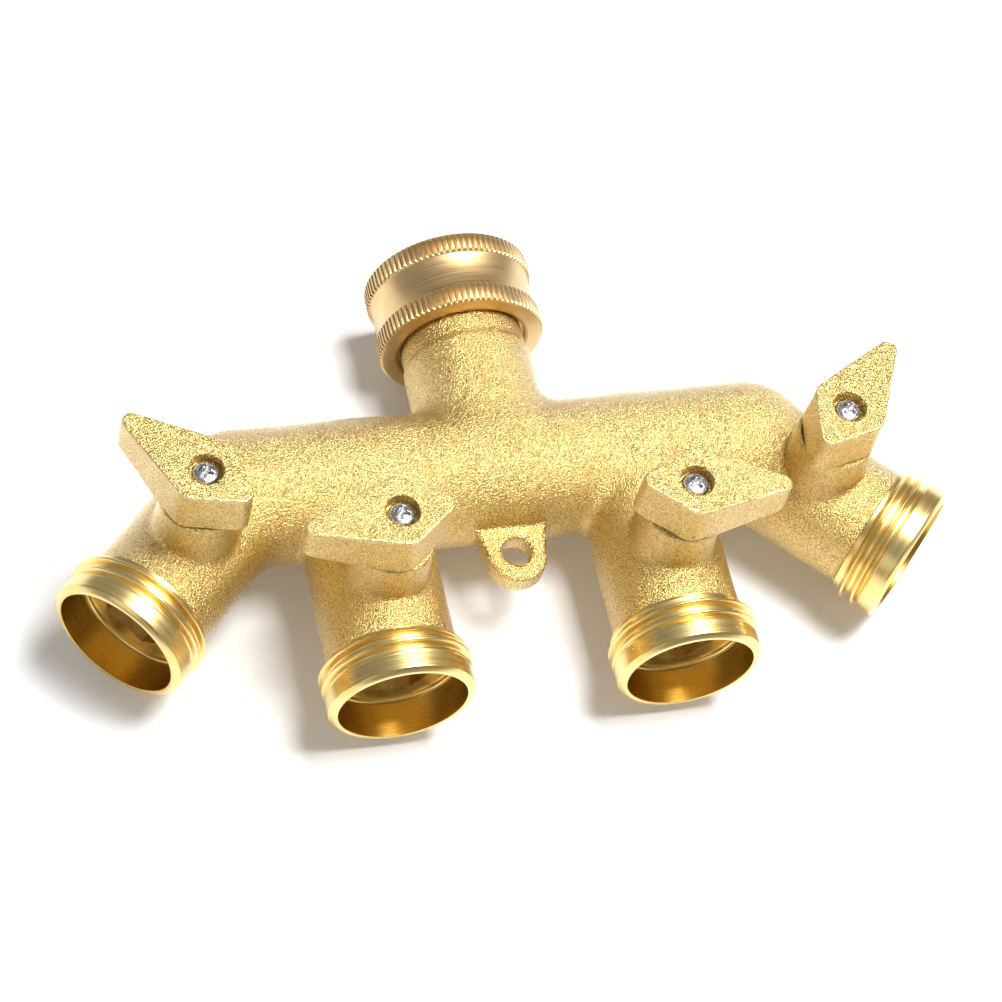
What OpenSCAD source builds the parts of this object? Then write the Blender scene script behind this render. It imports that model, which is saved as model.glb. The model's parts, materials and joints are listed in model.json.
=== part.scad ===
// Four-way garden hose splitter in cast brass.
// A cross tube feeds four male hose outlets, each with its own quarter-turn
// ball valve.  A swivel nut with a female hose thread joins it to the tap.
// Lengths in millimetres.  +X runs along the cross tube, the inlet faces +Y,
// the outlets face -Y and the valve stems rise along +Z.  The origin is under
// the middle of the splitter, on the plane that it lies on.

/* [Cross tube] */
// Outer radius of the cross tube
tube_r = 12.25; // [11.8:0.05:12.8]
// Radius of the water gallery inside the cross tube
gallery_r = 9.7; // [9:0.1:9.8]
// Half length of the water gallery
gallery_half = 38.5; // [36:0.5:39]
// Distance from the middle to each inner outlet
inner_outlet_x = 25.9; // [25:0.1:27]
// Distance from the middle to each elbow
elbow_x = 47; // [46:0.5:49]

/* [Outlets] */
// Outer radius of an outlet's cast barrel
barrel_r = 11.4; // [11.2:0.05:11.7]
// Distance from the cross tube's axis to an inner valve
inner_valve_y = 21.7; // [21.5:0.1:23]
// Distance along an outer outlet from its elbow to its valve
outer_valve_s = 14.3; // [14:0.1:16]
// Distance from a valve's centre to its outlet's mouth
mouth_u = 21.8; // [21.5:0.1:23]
// Inner radius of an outlet's mouth
mouth_r = 11.3; // [11:0.05:11.4]
// Depth of the mouth down to its inner step
mouth_depth = 6.3; // [5.5:0.1:6.4]
// Outer radius of the plain rim at the mouth
rim_r = 13; // [12.6:0.05:13.1]

/* [Hose thread] */
// Pitch of the standard garden hose thread, 11.5 turns to the inch
pitch = 2.209; // [2.1:0.001:2.3]
// Crest radius of the male thread
male_crest_r = 13.45; // [13.3:0.01:13.49]
// Root radius of the male thread
male_root_r = 12.1; // [12:0.01:12.2]
// Crest radius of the female thread
female_crest_r = 12.3; // [12.2:0.01:12.4]
// Root radius of the female thread
female_root_r = 13.65; // [13.6:0.01:13.75]
// Width of the flat on a thread crest
crest_flat = 0.45; // [0.35:0.05:0.6]
// Thread turns on each outlet
male_turns = 3; // [2:1:3]
// Thread turns in the swivel nut
female_turns = 3; // [2:1:3]

/* [Inlet and swivel nut] */
// Outer radius of the inlet neck
neck_r = 11.75; // [11.5:0.05:12]
// Outer radius of the turned end of the neck, next to the nut
neck_end_r = 11.3; // [11:0.05:11.4]
// Length of the turned end of the neck
neck_end_len = 4.7; // [4:0.1:6]
// Distance from the cross tube's axis to the nut's back face
nut_back_y = 27.4; // [27:0.1:28]
// Length of the swivel nut
nut_len = 14.9; // [14.5:0.1:16]
// Outer radius of the nut over its knurl
nut_r = 15.3; // [15.1:0.05:16]
// Outer radius of the plain band between the two knurled rings
nut_band_r = 14.65; // [14.4:0.05:14.9]
// Length of each knurled ring
knurl_len = 4; // [3.5:0.1:4.5]
// Teeth round a knurled ring
knurl_teeth = 88; // [60:1:96]

/* [Valves] */
// Radius of a valve ball
ball_r = 8.5; // [8.3:0.05:8.6]
// Radius of the water way through a ball
ball_bore_r = 5.5; // [5:0.1:5.6]
// Radius of the chamber that a ball turns in
chamber_r = 9.4; // [9.35:0.05:9.5]
// Distance from a valve's centre to the back of each seat
seat_back_u = 9.8; // [9.6:0.1:10]
// Outer radius of a seat retainer
retainer_r = 10; // [9.9:0.05:10.2]
// Thickness of a seat retainer
retainer_len = 5; // [4.5:0.1:5]
// Corner radius of the hexagonal key socket in a retainer
key_r = 8; // [7:0.1:8.5]
// Outer radius of a valve boss
boss_r = 7.25; // [7:0.05:7.6]
// Height of a boss top above the cross tube's axis
boss_top = 19.4; // [19:0.1:20]
// Radius of a stem in its boss
stem_r = 3.4; // [3.2:0.05:3.5]

/* [Levers] */
// Height of a lever's top above the cross tube's axis
lever_top = 28.8; // [28.5:0.1:30]
// Thickness of a lever at its nose
nose_h = 6.9; // [6:0.1:8.5]
// Distance from the stem to the nose of the lever
nose_x = 17; // [15:0.5:19]
// Distance from the stem to the tail of the lever
tail_x = 9.3; // [8.8:0.1:10]
// Half width of the lever at its widest place
lever_half_w = 6.8; // [6.5:0.1:7]
// How far the inner left lever stands past its closed place, in degrees
ajar_left = 5; // [0:1:8]
// How far the inner right lever stands past its closed place, in degrees
ajar_right = 8; // [0:1:8]

/* [Mounting ear] */
// Radius of the screw hole
ear_hole_r = 2.7; // [2.2:0.1:3]
// Distance from the cross tube's axis to the screw hole
ear_y = 17; // [16.5:0.1:18]
// Radius of the ear's rounded end
ear_r = 5.2; // [4.8:0.1:5.6]
// Thickness of the ear
ear_h = 3.9; // [3:0.1:5]

/* [Hidden] */
$fn = 64;
EPS = 0.5;                   // overshoot of a cut past the face that it opens
RUN_GAP = 0.05;              // radial gap of a shaft that turns in its bore
FIT_GAP = 0.03;              // radial gap of a piece that is screwed or pushed home
BALL_GAP = 0.1;              // gap between a ball and its seats

// Frame: the nut is the lowest point, and the splitter is centred fore and aft
mouth_y = inner_valve_y + mouth_u;
nut_front_y = nut_back_y + nut_len;
frame_shift = [0, (mouth_y - nut_front_y) / 2, nut_r];

// Valves, left to right: [x, y, outlet heading, closed heading, heading at rest,
// turn towards open, key socket angle]
outer_dx = elbow_x + outer_valve_s * cos(45);
outer_dy = outer_valve_s * sin(45);
right_stop = 2;              // the right lever's closed stop stands this far past square
VALVES = [
    [-outer_dx, -outer_dy, 225, 135, 135, 1, 10],
    [-inner_outlet_x, -inner_valve_y, 270, 180, 180 + ajar_left, 1, 30],
    [inner_outlet_x, -inner_valve_y, 270, 360, 360 - ajar_right, -1, 20],
    [outer_dx, -outer_dy, 315, 405 + right_stop, 405 + right_stop, -1, 0]
];

// Outlet, measured from the valve's centre towards the mouth
thread_from = mouth_u - 9;
first_crest = thread_from + 1.6;
rim_chamfer = 0.3;
step_u = mouth_u - mouth_depth;
retainer_face = seat_back_u + retainer_len;
step_r = retainer_r + 0.6;

// Inlet, measured along +Y
NUT_GAP = 0.3;               // end play of the swivel nut
recess_y = nut_back_y + 1;
lip_y = recess_y + 2;
neck_end_y = recess_y - NUT_GAP;
recess_r = neck_end_r + 0.5;
flange_y = lip_y + NUT_GAP;
flange_len = 1.5;
flange_r = 11.9;
spigot_r = 9.3;
spigot_y = 20;
tail_bore_r = 7.5;
inlet_bore_r = 8.4;
washer_y = flange_y + flange_len + NUT_GAP;
washer_len = 2.4;
washer_r = 12.5;
relief_r = 12.6;
relief_end_y = washer_y + washer_len + 0.2;

// Stem and its boss, heights above the cross tube's axis
slot_z = 5.4;
tang_z = 5.6;
tang_w = 2.8;
tang_half = 3.2;
flange_z = 8.9;
stem_flange_top = 10.6;
stem_flange_r = 4.3;
pocket_top = 10.7;
pocket_r = 4.5;
groove_r = 2.2;
groove_w = 1.7;
seal_section_r = 0.58;
SEAL_Z = [13.2, 16];
drive_r = 3.1;
drive_half = 2.3;
drive_top = 24.2;
pilot_r = 1.3;
pilot_z = 16.5;

// Lever, heights above the cross tube's axis
lever_z = boss_top + 0.25;
rise_x = 5;                  // the underside starts to rise towards the nose here
recess_z = lever_top - 2.4;
screw_recess_r = 2.95;
shank_r = 1.25;
head_r = 2.4;
head_h = 1.9;
BLADE = [[nose_x - 1.9, 0, 1.9], [0.3, lever_half_w - 4, 4],
         [2.2 - tail_x, 0, 2.2], [0.3, 4 - lever_half_w, 4]];

// Stop: a lug under the lever runs in an arc sunk in the boss top
lug_r_in = 4.7;
lug_r_out = 6;
lug_half_angle = 15;
stop_slack = 1;
stop_depth = 1.5;
stop_r_in = 4.4;
stop_r_out = 6.3;

BRASS = [0.80, 0.66, 0.36];
TURNED_BRASS = [0.88, 0.72, 0.33];
NUT_BRASS = [0.80, 0.65, 0.45];

// ---------- helpers ----------

// Heading of the outer tangent from disc a to disc b, discs as [x, y, r]
function tangent_heading(a, b) =
    atan2(b[1] - a[1], b[0] - a[0])
    - acos((a[2] - b[2]) / norm([b[0] - a[0], b[1] - a[1]]));

// Outline drawn tightly round a ring of discs, counter-clockwise
function outline_round(discs, steps = 8) = [
    for (i = [0 : len(discs) - 1])
        let (count = len(discs),
             disc = discs[i],
             from = tangent_heading(discs[(i + count - 1) % count], disc),
             to = tangent_heading(disc, discs[(i + 1) % count]),
             sweep = (to - from + 720) % 360)
        for (k = [0 : steps])
            let (a = from + sweep * k / steps)
            [disc[0] + disc[2] * cos(a), disc[1] + disc[2] * sin(a)]
];

// Points [radius, height] of thread ridges, from the lowest ridge up
function ridge_points(base_r, top_r, lowest, turns) = [
    for (k = [0 : turns - 1])
        let (mid = lowest + k * pitch, half = 0.41 * pitch, flat = crest_flat / 2)
        each [[base_r, mid - half], [top_r, mid - flat], [top_r, mid + flat], [base_r, mid + half]]
];

// Ring with a flat bottom at z
module ring(outer, inner, z, h) {
    translate([0, 0, z])
        difference() {
            cylinder(r = outer, h = h);
            translate([0, 0, -EPS])
                cylinder(r = inner, h = h + 2 * EPS);
        }
}

// Part of a flat ring between two headings
module arc_block(inner, outer, from, to, z, h) {
    reach = 2 * outer;
    corners = [for (k = [0 : 4]) let (a = from + (to - from) * k / 4) reach * [cos(a), sin(a)]];
    translate([0, 0, z])
        linear_extrude(height = h)
            intersection() {
                difference() {
                    circle(r = outer);
                    circle(r = inner);
                }
                polygon(concat([[0, 0]], corners));
            }
}

// Puts the whole splitter in its frame
module framed() {
    translate(frame_shift)
        children();
}

// At a valve, +Z up its stem
module at_valve(v) {
    framed()
        translate([v[0], v[1], 0])
            children();
}

// At a valve, turned with its lever: +X along the lever's nose
module on_lever(v) {
    at_valve(v)
        rotate([0, 0, v[4]])
            children();
}

// Along an outlet: +Z from the valve's centre towards the mouth
module along_outlet(v) {
    at_valve(v)
        rotate([0, 0, v[2]])
            rotate([0, 90, 0])
                children();
}

// Along the inlet: +Z runs along +Y from the cross tube's axis
module along_inlet() {
    framed()
        rotate([-90, 0, 0])
            children();
}

// ---------- body ----------

module outlet_end() {
    profile = concat(
        [[0, thread_from - 4], [barrel_r - 0.1, thread_from - 4],
         [barrel_r - 0.1, thread_from], [male_root_r, thread_from]],
        ridge_points(male_root_r, male_crest_r, first_crest, male_turns),
        [[rim_r, first_crest + (male_turns - 0.5) * pitch + 0.4],
         [rim_r, mouth_u - rim_chamfer], [rim_r - rim_chamfer, mouth_u], [0, mouth_u]]);
    rotate_extrude()
        polygon(profile);
}

module outlet_barrel(back) {
    translate([0, 0, -back])
        cylinder(r = barrel_r, h = back + thread_from);
}

module outlet_bores(back) {
    translate([0, 0, -back])
        cylinder(r = ball_bore_r, h = back);
    translate([0, 0, -seat_back_u])
        cylinder(r = chamber_r, h = 2 * seat_back_u);
    translate([0, 0, seat_back_u])
        cylinder(r = retainer_r + FIT_GAP, h = retainer_len);
    translate([0, 0, retainer_face])
        cylinder(r = step_r, h = mouth_u - retainer_face + EPS);
    translate([0, 0, step_u])
        cylinder(r = mouth_r, h = mouth_depth + EPS);
}

module boss_bores(v) {
    lug_from = v[3] + 180;
    lug_to = lug_from + v[5] * 90;
    reach = lug_half_angle + stop_slack;
    at_valve(v) {
        cylinder(r = pocket_r, h = pocket_top);
        cylinder(r = stem_r + RUN_GAP, h = boss_top + EPS);
        arc_block(stop_r_in, stop_r_out, min(lug_from, lug_to) - reach, max(lug_from, lug_to) + reach,
                  boss_top - stop_depth, stop_depth + EPS);
    }
}

module inlet_neck() {
    along_inlet() {
        cylinder(r = neck_r, h = neck_end_y - neck_end_len);
        cylinder(r = neck_end_r, h = neck_end_y);
    }
}

module inlet_bores() {
    along_inlet() {
        cylinder(r = inlet_bore_r, h = neck_end_y + EPS);
        translate([0, 0, spigot_y])
            cylinder(r = spigot_r + FIT_GAP, h = neck_end_y - spigot_y + EPS);
    }
}

module mounting_ear() {
    root_half = 6.7;
    root_y = tube_r - 2;
    end_y = ear_y + 0.8;
    framed()
        translate([0, 0, -ear_h / 2]) {
            translate([0, -end_y, 0])
                cylinder(r = ear_r, h = ear_h);
            linear_extrude(height = ear_h)
                polygon([[-root_half, -root_y], [-ear_r, -end_y], [ear_r, -end_y], [root_half, -root_y]]);
        }
}

module manifold_body() {
    // An outer outlet starts at its elbow, an inner one on the cross tube's axis
    backs = [outer_valve_s, inner_valve_y, inner_valve_y, outer_valve_s];
    elbow_r = tube_r + 0.15;
    elbow_bore_r = ball_bore_r + 0.2;
    color(BRASS)
        difference() {
            union() {
                framed() {
                    translate([-elbow_x, 0, 0])
                        rotate([0, 90, 0])
                            cylinder(r = tube_r, h = 2 * elbow_x);
                    for (side = [0, 1])
                        mirror([side, 0, 0])
                            translate([elbow_x, 0, 0])
                                sphere(r = elbow_r);
                }
                for (i = [0 : 3]) {
                    along_outlet(VALVES[i]) {
                        outlet_barrel(backs[i]);
                        outlet_end();
                    }
                    at_valve(VALVES[i])
                        cylinder(r = boss_r, h = boss_top);
                }
                inlet_neck();
                mounting_ear();
            }
            framed() {
                translate([-gallery_half, 0, 0])
                    rotate([0, 90, 0])
                        cylinder(r = gallery_r, h = 2 * gallery_half);
                translate([-elbow_x, 0, 0])
                    rotate([0, 90, 0])
                        cylinder(r = ball_bore_r, h = 2 * elbow_x);
                for (side = [0, 1])
                    mirror([side, 0, 0])
                        translate([elbow_x, 0, 0])
                            sphere(r = elbow_bore_r);
                translate([0, -ear_y, -ear_h])
                    cylinder(r = ear_hole_r, h = 2 * ear_h);
            }
            for (i = [0 : 3]) {
                along_outlet(VALVES[i])
                    outlet_bores(backs[i]);
                boss_bores(VALVES[i]);
            }
            inlet_bores();
        }
}

// ---------- inlet pieces ----------

module knurled_ring(z) {
    depth = 0.35;
    step = 360 / knurl_teeth;
    crown = 0.25 * step;
    outline = [for (k = [0 : knurl_teeth - 1])
        each [(nut_r - depth) * [cos(k * step), sin(k * step)],
              nut_r * [cos((k + 0.5) * step - crown), sin((k + 0.5) * step - crown)],
              nut_r * [cos((k + 0.5) * step + crown), sin((k + 0.5) * step + crown)]]];
    translate([0, 0, z])
        linear_extrude(height = knurl_len)
            polygon(outline);
}

module swivel_nut() {
    mouth_chamfer = 0.7;
    thread_top = relief_end_y + 0.9;
    hollow = concat(
        [[0, nut_front_y + EPS], [0, lip_y], [relief_r, lip_y], [relief_r, relief_end_y],
         [female_root_r, relief_end_y]],
        [for (p = ridge_points(female_root_r, female_crest_r, thread_top, female_turns)) p],
        [[female_root_r, nut_front_y - mouth_chamfer],
         [female_root_r + mouth_chamfer, nut_front_y], [female_root_r + mouth_chamfer, nut_front_y + EPS]]);
    color(NUT_BRASS)
        along_inlet()
            difference() {
                union() {
                    translate([0, 0, nut_back_y])
                        cylinder(r = nut_band_r, h = nut_len);
                    knurled_ring(nut_back_y);
                    knurled_ring(nut_front_y - knurl_len);
                }
                translate([0, 0, nut_back_y - EPS])
                    cylinder(r = recess_r, h = recess_y - nut_back_y + EPS);
                translate([0, 0, nut_back_y])
                    cylinder(r = spigot_r + NUT_GAP, h = nut_len);
                rotate_extrude()
                    polygon(hollow);
            }
}

module inlet_washer() {
    color([0.12, 0.12, 0.12])
        along_inlet()
            ring(washer_r, inlet_bore_r, washer_y, washer_len);
}

module inlet_tailpiece() {
    color(TURNED_BRASS)
        along_inlet()
            difference() {
                union() {
                    translate([0, 0, spigot_y])
                        cylinder(r = spigot_r, h = flange_y - spigot_y + flange_len);
                    translate([0, 0, flange_y])
                        cylinder(r = flange_r, h = flange_len);
                }
                cylinder(r = tail_bore_r, h = nut_front_y);
            }
}

// ---------- valve pieces ----------

module ball(v) {
    color([0.80, 0.80, 0.82])
        on_lever(v)
            difference() {
                sphere(r = ball_r);
                translate([-ball_r - EPS, 0, 0])
                    rotate([0, 90, 0])
                        cylinder(r = ball_bore_r, h = 2 * (ball_r + EPS));
                translate([-tang_w / 2 - RUN_GAP, -ball_r, slot_z])
                    cube([tang_w + 2 * RUN_GAP, 2 * ball_r, ball_r]);
            }
}

// side is 1 for the seat nearer the mouth and -1 for the one nearer the gallery
module seat(v, side) {
    seat_front_u = 5;
    color([0.94, 0.94, 0.92])
        along_outlet(v)
            difference() {
                ring(chamber_r - 0.1, ball_bore_r + 0.2,
                     side > 0 ? seat_front_u : -seat_back_u, seat_back_u - seat_front_u);
                sphere(r = ball_r + BALL_GAP);
            }
}

module seat_retainer(v) {
    key_depth = 3.2;
    color(TURNED_BRASS)
        along_outlet(v)
            difference() {
                ring(retainer_r, ball_bore_r + 0.2, seat_back_u, retainer_len);
                translate([0, 0, retainer_face - key_depth])
                    rotate([0, 0, v[6]])
                        cylinder(r = key_r, h = key_depth + EPS, $fn = 6);
            }
}

module stem(v) {
    color(TURNED_BRASS)
        on_lever(v)
            difference() {
                union() {
                    intersection() {
                        translate([-tang_w / 2, -tang_half, tang_z])
                            cube([tang_w, 2 * tang_half, flange_z - tang_z + EPS]);
                        cylinder(r = tang_half, h = boss_top);
                    }
                    translate([0, 0, flange_z])
                        cylinder(r = stem_flange_r, h = stem_flange_top - flange_z);
                    translate([0, 0, flange_z])
                        cylinder(r = stem_r, h = boss_top - flange_z);
                    intersection() {
                        translate([0, 0, flange_z])
                            cylinder(r = drive_r, h = drive_top - flange_z);
                        translate([-drive_r - EPS, -drive_half, flange_z])
                            cube([2 * (drive_r + EPS), 2 * drive_half, drive_top - flange_z]);
                    }
                }
                for (z = SEAL_Z)
                    ring(stem_r + EPS, groove_r, z - groove_w / 2, groove_w);
                translate([0, 0, pilot_z])
                    cylinder(r = pilot_r, h = drive_top - pilot_z + EPS);
            }
}

module stem_seals(v) {
    ring_r = groove_r + seal_section_r + 0.04;
    color([0.10, 0.10, 0.10])
        at_valve(v)
            for (z = SEAL_Z)
                translate([0, 0, z])
                    rotate_extrude()
                        translate([ring_r, 0])
                            circle(r = seal_section_r, $fn = 32);
}

module lever(v) {
    drive_h = drive_top + 0.1 - lever_z + EPS;
    nose_z = lever_top - nose_h;
    beyond = nose_x + 1;
    color(BRASS)
        on_lever(v)
            difference() {
                union() {
                    translate([0, 0, lever_z])
                        linear_extrude(height = lever_top - lever_z)
                            polygon(outline_round(BLADE));
                    arc_block(lug_r_in, lug_r_out, 180 - lug_half_angle, 180 + lug_half_angle,
                              boss_top - stop_depth + 0.3, stop_depth + 1);
                }
                rotate([90, 0, 0])
                    translate([0, 0, -nose_x])
                        linear_extrude(height = 2 * nose_x)
                            polygon([[rise_x, lever_z], [rise_x, lever_z - EPS], [beyond, lever_z - EPS],
                                     [beyond, nose_z + (nose_z - lever_z) / (nose_x - rise_x)]]);
                translate([0, 0, lever_z - EPS])
                    intersection() {
                        cylinder(r = drive_r + RUN_GAP, h = drive_h);
                        translate([-drive_r - EPS, -drive_half - RUN_GAP, 0])
                            cube([2 * (drive_r + EPS), 2 * (drive_half + RUN_GAP), drive_h]);
                    }
                translate([0, 0, lever_z])
                    cylinder(r = shank_r + 0.2, h = lever_top - lever_z);
                translate([0, 0, recess_z])
                    cylinder(r = screw_recess_r, h = lever_top - recess_z + EPS);
            }
}

module lever_screw(v) {
    cross_half = 1.5;
    cross_w = 0.7;
    cross_depth = 1;
    color([0.78, 0.78, 0.80])
        on_lever(v)
            difference() {
                union() {
                    translate([0, 0, recess_z])
                        cylinder(r = head_r, h = head_h);
                    translate([0, 0, pilot_z + EPS])
                        cylinder(r = shank_r, h = recess_z - pilot_z);
                }
                for (turn = [0, 90])
                    rotate([0, 0, turn])
                        translate([-cross_half, -cross_w / 2, recess_z + head_h - cross_depth])
                            cube([2 * cross_half, cross_w, cross_depth + EPS]);
            }
}

// ---------- nodes ----------

manifold_body();
swivel_nut();
inlet_washer();
inlet_tailpiece();
ball(VALVES[0]);  // ball_1
ball(VALVES[1]);  // ball_2
ball(VALVES[2]);  // ball_3
ball(VALVES[3]);  // ball_4
seat(VALVES[0], -1);  // inner_seat_1
seat(VALVES[1], -1);  // inner_seat_2
seat(VALVES[2], -1);  // inner_seat_3
seat(VALVES[3], -1);  // inner_seat_4
seat(VALVES[0], 1);  // outer_seat_1
seat(VALVES[1], 1);  // outer_seat_2
seat(VALVES[2], 1);  // outer_seat_3
seat(VALVES[3], 1);  // outer_seat_4
seat_retainer(VALVES[0]);  // seat_retainer_1
seat_retainer(VALVES[1]);  // seat_retainer_2
seat_retainer(VALVES[2]);  // seat_retainer_3
seat_retainer(VALVES[3]);  // seat_retainer_4
stem(VALVES[0]);  // stem_1
stem(VALVES[1]);  // stem_2
stem(VALVES[2]);  // stem_3
stem(VALVES[3]);  // stem_4
stem_seals(VALVES[0]);  // stem_seals_1
stem_seals(VALVES[1]);  // stem_seals_2
stem_seals(VALVES[2]);  // stem_seals_3
stem_seals(VALVES[3]);  // stem_seals_4
lever(VALVES[0]);  // lever_1
lever(VALVES[1]);  // lever_2
lever(VALVES[2]);  // lever_3
lever(VALVES[3]);  // lever_4
lever_screw(VALVES[0]);  // lever_screw_1
lever_screw(VALVES[1]);  // lever_screw_2
lever_screw(VALVES[2]);  // lever_screw_3
lever_screw(VALVES[3]);  // lever_screw_4
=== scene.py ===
"""Looks of a cast brass four-way garden hose splitter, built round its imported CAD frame.

Shapes are worked out in millimetres in the hand frame: its origin is where the cross tube's axis
meets the inlet's axis, +X runs along the cross tube, +Y towards the inlet and +Z up the valve
stems.  HAND is that origin in the row frame.
"""
import json
import math

import bpy
import numpy as np
from mathutils import Matrix, Vector


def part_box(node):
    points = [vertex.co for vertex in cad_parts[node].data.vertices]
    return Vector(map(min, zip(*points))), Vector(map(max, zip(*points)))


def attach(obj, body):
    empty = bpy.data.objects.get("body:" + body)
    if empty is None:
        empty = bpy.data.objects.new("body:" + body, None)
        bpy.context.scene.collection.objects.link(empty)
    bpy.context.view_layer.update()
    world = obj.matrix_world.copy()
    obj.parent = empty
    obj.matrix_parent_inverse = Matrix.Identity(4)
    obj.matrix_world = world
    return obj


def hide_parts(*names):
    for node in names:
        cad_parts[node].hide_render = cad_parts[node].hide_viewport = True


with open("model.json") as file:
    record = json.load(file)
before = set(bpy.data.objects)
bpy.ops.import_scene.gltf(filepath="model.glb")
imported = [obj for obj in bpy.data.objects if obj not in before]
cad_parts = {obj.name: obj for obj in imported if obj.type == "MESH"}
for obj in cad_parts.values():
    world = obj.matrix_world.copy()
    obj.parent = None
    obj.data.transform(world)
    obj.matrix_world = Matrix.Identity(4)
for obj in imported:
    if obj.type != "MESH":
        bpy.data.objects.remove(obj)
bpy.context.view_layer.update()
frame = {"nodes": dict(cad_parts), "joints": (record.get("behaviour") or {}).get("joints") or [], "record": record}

MM = 0.001
joints = {joint["name"]: joint for joint in frame["joints"]}
mounts = {mount["name"]: mount for mount in frame["record"]["mounts"]}

# ---------------------------------------------------------------- sizes, in millimetres

TUBE_R = 12.25             # cross tube
GALLERY_R, GALLERY_HALF = 9.7, 38.5
ELBOW_X = 47.0             # where the cross tube meets an outer outlet
BARREL_R = 11.4            # cast barrel of an outlet
STRAIGHT_Y = 21.7          # cross tube's axis to an inner outlet's valve centre
MOUTH_U = 21.8            # valve centre to mouth
MOUTH_R = 11.3
RIM_R, LIP_R = 13.0, 12.15
BAND_U, BEVEL_U = 18.4, 21.05   # plain band in front of the thread, and its front edge
STEP_U = MOUTH_U - 6.3    # inner step of the mouth
RETAINER_U = 14.8         # front face of the seat retainer
STEP_R = 10.6
THREAD_U = MOUTH_U - 9.0  # where the turned thread starts
PITCH = 2.209
MALE_CREST, MALE_ROOT = 13.45, 12.1
FEMALE_CREST, FEMALE_ROOT = 12.3, 13.65
SEAT_BACK_U = 9.8          # how far the valve chamber reaches each way from its centre
CHAMBER_R = 9.4
RETAINER_BORE_R = 10.03
WATERWAY_R = 5.5
BOSS_R, BOSS_TOP_R, BOSS_TOP = 7.25, 6.95, 19.5
POCKET_R, POCKET_TOP = 4.5, 10.7
STEM_BORE_R = 3.45
NECK_R, NECK_END_R = 11.75, 11.3
NECK_END_Y, NECK_STEP_Y = 28.1, 23.4
INLET_BORE_R, SPIGOT_R, SPIGOT_Y = 8.4, 9.33, 20.0
EAR_Y, EAR_END_Y, EAR_R, EAR_HOLE_R, EAR_HALF_H = 17.0, 17.8, 5.2, 2.7, 1.95
NUT_R, NUT_BAND_R, NUT_BACK_Y, NUT_FRONT_Y = 15.3, 14.65, 27.4, 42.3
NUT_HOLE_R, NUT_SEAT_R, NUT_SEAT_Y, NUT_THREAD_Y = 9.6, 12.6, 30.4, 35.1
NUT_COLLAR_R, NUT_LEAD = 11.8, 0.7
KNURL_LEN, KNURL_TEETH, KNURL_DEPTH = 4.0, 88, 0.5
LEVER_TOP, LEVER_UNDER, LEVER_EDGE = 28.8, 19.65, 0.5
LEVER_RISE_X, LEVER_RISE = 5, 0.1875   # where the underside starts to rise, and its slope
LEVER_DRAFT, DRAFT_Z = 0.02, 22
LUG_HALF_ANGLE, LUG_IN_R, LUG_Z = 13, 4.7, 19.2
STOP_R, STOP_IN_R, STOP_DEPTH = 6.1, 4.4, 1.5   # arc in a boss top that a lever's lug runs in
STOP_MARGIN = 24           # degrees of arc left past the middle of the lug at each limit
CAST_WAVE, LEVER_WAVE = 0.07, 0.04
RECESS_R, RECESS_Z, HEAD_R, HEAD_TOP = 2.95, 26.4, 2.4, 28.3

# ---------------------------------------------------------------- places, from the frame

AXIS_Z = mounts["inlet_thread"]["pos_m"][2] / MM
AXIS_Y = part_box("manifold_body")[0].y / MM + STRAIGHT_Y + MOUTH_U
HAND = np.array([0.0, AXIS_Y, AXIS_Z])


class Valve:
    """One outlet with its valve: where it is, which way it faces, and where its lever points."""

    def __init__(self, number, start, rest_heading, closed_heading, turn):
        """start is where the outlet's axis leaves the cross tube's, and headings are in degrees
        from +X.  turn is 1 if the lever opens anticlockwise from above, and -1 if clockwise."""
        mount = mounts[f"outlet_thread_{number}"]
        joint = joints[f"valve_turn_{number}"]
        self.number = number
        self.centre = np.array(joint["pos_m"]) / MM - HAND
        self.heading = np.array(mount["axis"], float)
        self.start = np.array(start, float)
        self.rest = math.radians(rest_heading)
        self.closed = math.radians(closed_heading)
        self.turn = turn


VALVES = [
    Valve(1, (-ELBOW_X, 0, 0), 135, 135, 1),
    Valve(2, (-25.9, 0, 0), 185, 180, 1),
    Valve(3, (25.9, 0, 0), 352, 360, -1),
    Valve(4, (ELBOW_X, 0, 0), 407, 407, -1),
]

# ---------------------------------------------------------------- distances to simple shapes


def length(*parts):
    """Length of a vector given by its parts."""
    return np.sqrt(sum(part * part for part in parts))


def along(points, start, heading):
    """Distance along a line and distance from it."""
    rel = points - np.asarray(start, np.float32)
    run = rel @ np.asarray(heading, np.float32)
    off = np.sqrt(np.maximum((rel * rel).sum(1) - run * run, 0))
    return run, off


def bar(points, start, heading, radius, low, high):
    """Signed distance to a round bar with flat ends."""
    run, off = along(points, start, heading)
    side = off - radius
    end = np.maximum(low - run, run - high)
    return np.minimum(np.maximum(side, end), 0) + length(np.maximum(side, 0), np.maximum(end, 0))


def capsule(points, start, heading, radius, reach):
    """Signed distance to a round bar with ball ends."""
    rel = points - np.asarray(start, np.float32)
    run = np.clip(rel @ np.asarray(heading, np.float32), 0, reach)
    rel = rel - run[:, None] * np.asarray(heading, np.float32)
    return np.sqrt((rel * rel).sum(1)) - radius


def round_union(a, b, r):
    """The union of two shapes with a round fillet of radius r between them."""
    return np.maximum(r, np.minimum(a, b)) - length(np.maximum(r - a, 0), np.maximum(r - b, 0))


def round_cut(a, b, r):
    """The overlap of two shapes with its outer edge rounded to radius r."""
    return np.minimum(-r, np.maximum(a, b)) + length(np.maximum(a + r, 0), np.maximum(b + r, 0))


def waviness(points, size):
    """The slow unevenness of a sand casting, size millimetres either way."""
    x, y, z = points.T
    return size / 3 * (np.sin(0.61 * x + 0.33 * y + 1.3) + np.sin(0.47 * y - 0.55 * z + 0.29 * x)
                       + np.sin(0.71 * z + 0.38 * x - 0.52 * y + 2.1))


# ---------------------------------------------------------------- meshes


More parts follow.
